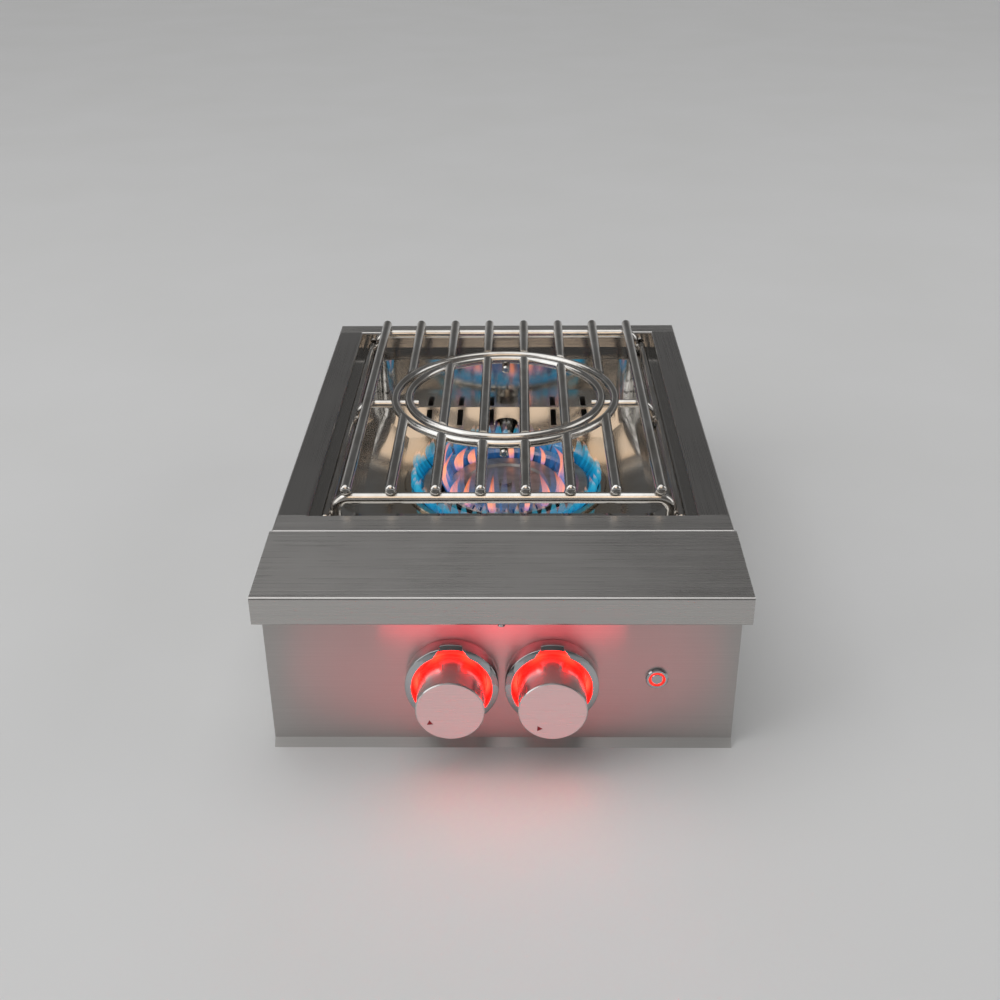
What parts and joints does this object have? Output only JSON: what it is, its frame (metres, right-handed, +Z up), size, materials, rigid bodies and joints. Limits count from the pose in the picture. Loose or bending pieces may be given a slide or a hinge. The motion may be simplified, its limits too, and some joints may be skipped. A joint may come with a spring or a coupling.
{
  "type": "built-in gas power burner",
  "caption": "Built-in stainless gas burner with a sloping landing, lit push-to-turn knobs, a polished firebox and a rod grate with a drop-in ring for a wok.",
  "frame": {"origin": "on the burner's axis, at the level of the base pan's underside", "axes": "+Z up, -Y towards the person at the knobs, +X to their right"},
  "size_m": [0.381, 0.5992, 0.1687],
  "materials": {
    "brushed_stainless": "long brushed grain",
    "polished_stainless": "mirror polished",
    "grate_steel": "polished round rod",
    "burner_steel": "machined, heat stained",
    "knob_satin": "satin face, finely turned side",
    "bezel_chrome": "bright",
    "red_light": "lit red diffuser",
    "led_board": "white solder mask",
    "switch_metal": "satin",
    "brass_fittings": "machined",
    "gas_pipe": "drawn tube",
    "igniter_ceramic": "glazed",
    "electrode_wire": "drawn wire",
    "grommet_rubber": "moulded"
  },
  "bodies": {
    "chassis": {"base_pan": "brushed_stainless", "burner_bowl": "polished_stainless", "cable_grommet": "grommet_rubber", "canopy_screw": "switch_metal", "control_panel": "brushed_stainless", "fire_wall": "brushed_stainless", "firebox_liner": "polished_stainless", "front_canopy": "brushed_stainless", "gas_inlet_fitting": "brass_fittings", "hopper_floor": "polished_stainless", "igniter_electrode": "electrode_wire", "igniter_insulator": "igniter_ceramic", "igniter_shroud": "polished_stainless", "inner_air_shutter": "burner_steel", "inner_burner_body": "burner_steel", "inner_burner_cap": "burner_steel", "inner_venturi": "burner_steel", "left_bezel": "bezel_chrome", "left_feed_tube": "gas_pipe", "left_led_board": "led_board", "left_light_ring": "red_light", "left_orifice": "brass_fittings", "left_side_panel": "brushed_stainless", "left_valve_body": "brass_fittings", "manifold_pipe": "gas_pipe", "outer_air_shutter": "burner_steel", "outer_burner_ring": "burner_steel", "outer_venturi": "burner_steel", "rear_panel": "brushed_stainless", "right_bezel": "bezel_chrome", "right_feed_tube": "gas_pipe", "right_led_board": "led_board", "right_light_ring": "red_light", "right_orifice": "brass_fittings", "right_side_panel": "brushed_stainless", "right_valve_body": "brass_fittings", "switch_body": "switch_metal", "switch_light_ring": "red_light", "switch_nut": "switch_metal", "top_frame": "brushed_stainless"},
    "main_grate": {"grate_front_bars": "grate_steel", "grate_front_crossbar": "grate_steel", "grate_long_bars": "grate_steel", "grate_rear_bars": "grate_steel", "grate_rear_crossbar": "grate_steel", "grate_ring": "grate_steel", "grate_ring_pegs": "grate_steel", "grate_side_rods": "grate_steel", "grate_side_stubs": "grate_steel"},
    "centre_grate": {"centre_ring": "grate_steel", "centre_bars": "grate_steel"},
    "left_push": {"left_push_collar": "brass_fittings"},
    "left_control": {"left_knob": "knob_satin", "left_valve_stem": "brass_fittings"},
    "right_push": {"right_push_collar": "brass_fittings"},
    "right_control": {"right_knob": "knob_satin", "right_valve_stem": "brass_fittings"},
    "switch_plunger": {"switch_button": "switch_metal"}
  },
  "joints": [
    {"name": "grate_lift", "type": "slide", "parent": "chassis", "child": "main_grate", "axis": [0, 0, 1], "range_m": [0, 0.08]},
    {"name": "centre_lift", "type": "slide", "parent": "main_grate", "child": "centre_grate", "axis": [0, 0, 1], "range_m": [0, 0.06]},
    {"name": "left_push", "type": "slide", "parent": "chassis", "child": "left_push", "axis": [0, 1, 0], "range_m": [0, 0.003], "stiffness_N_per_m": 1500, "springref_m": -0.004},
    {"name": "left_turn", "type": "hinge", "parent": "left_push", "child": "left_control", "pos_m": [-0.0391, -0.327, 0.0656], "axis": [0, -1, 0], "range_deg": [-124.5, 85.5]},
    {"name": "right_push", "type": "slide", "parent": "chassis", "child": "right_push", "axis": [0, 1, 0], "range_m": [0, 0.003], "stiffness_N_per_m": 1500, "springref_m": -0.004},
    {"name": "right_turn", "type": "hinge", "parent": "right_push", "child": "right_control", "pos_m": [0.0391, -0.327, 0.0656], "axis": [0, -1, 0], "range_deg": [-147, 63]},
    {"name": "switch_press", "type": "slide", "parent": "chassis", "child": "switch_plunger", "axis": [0, 1, 0], "range_m": [0, 0.0015], "stiffness_N_per_m": 150, "springref_m": -0.004}
  ]
}
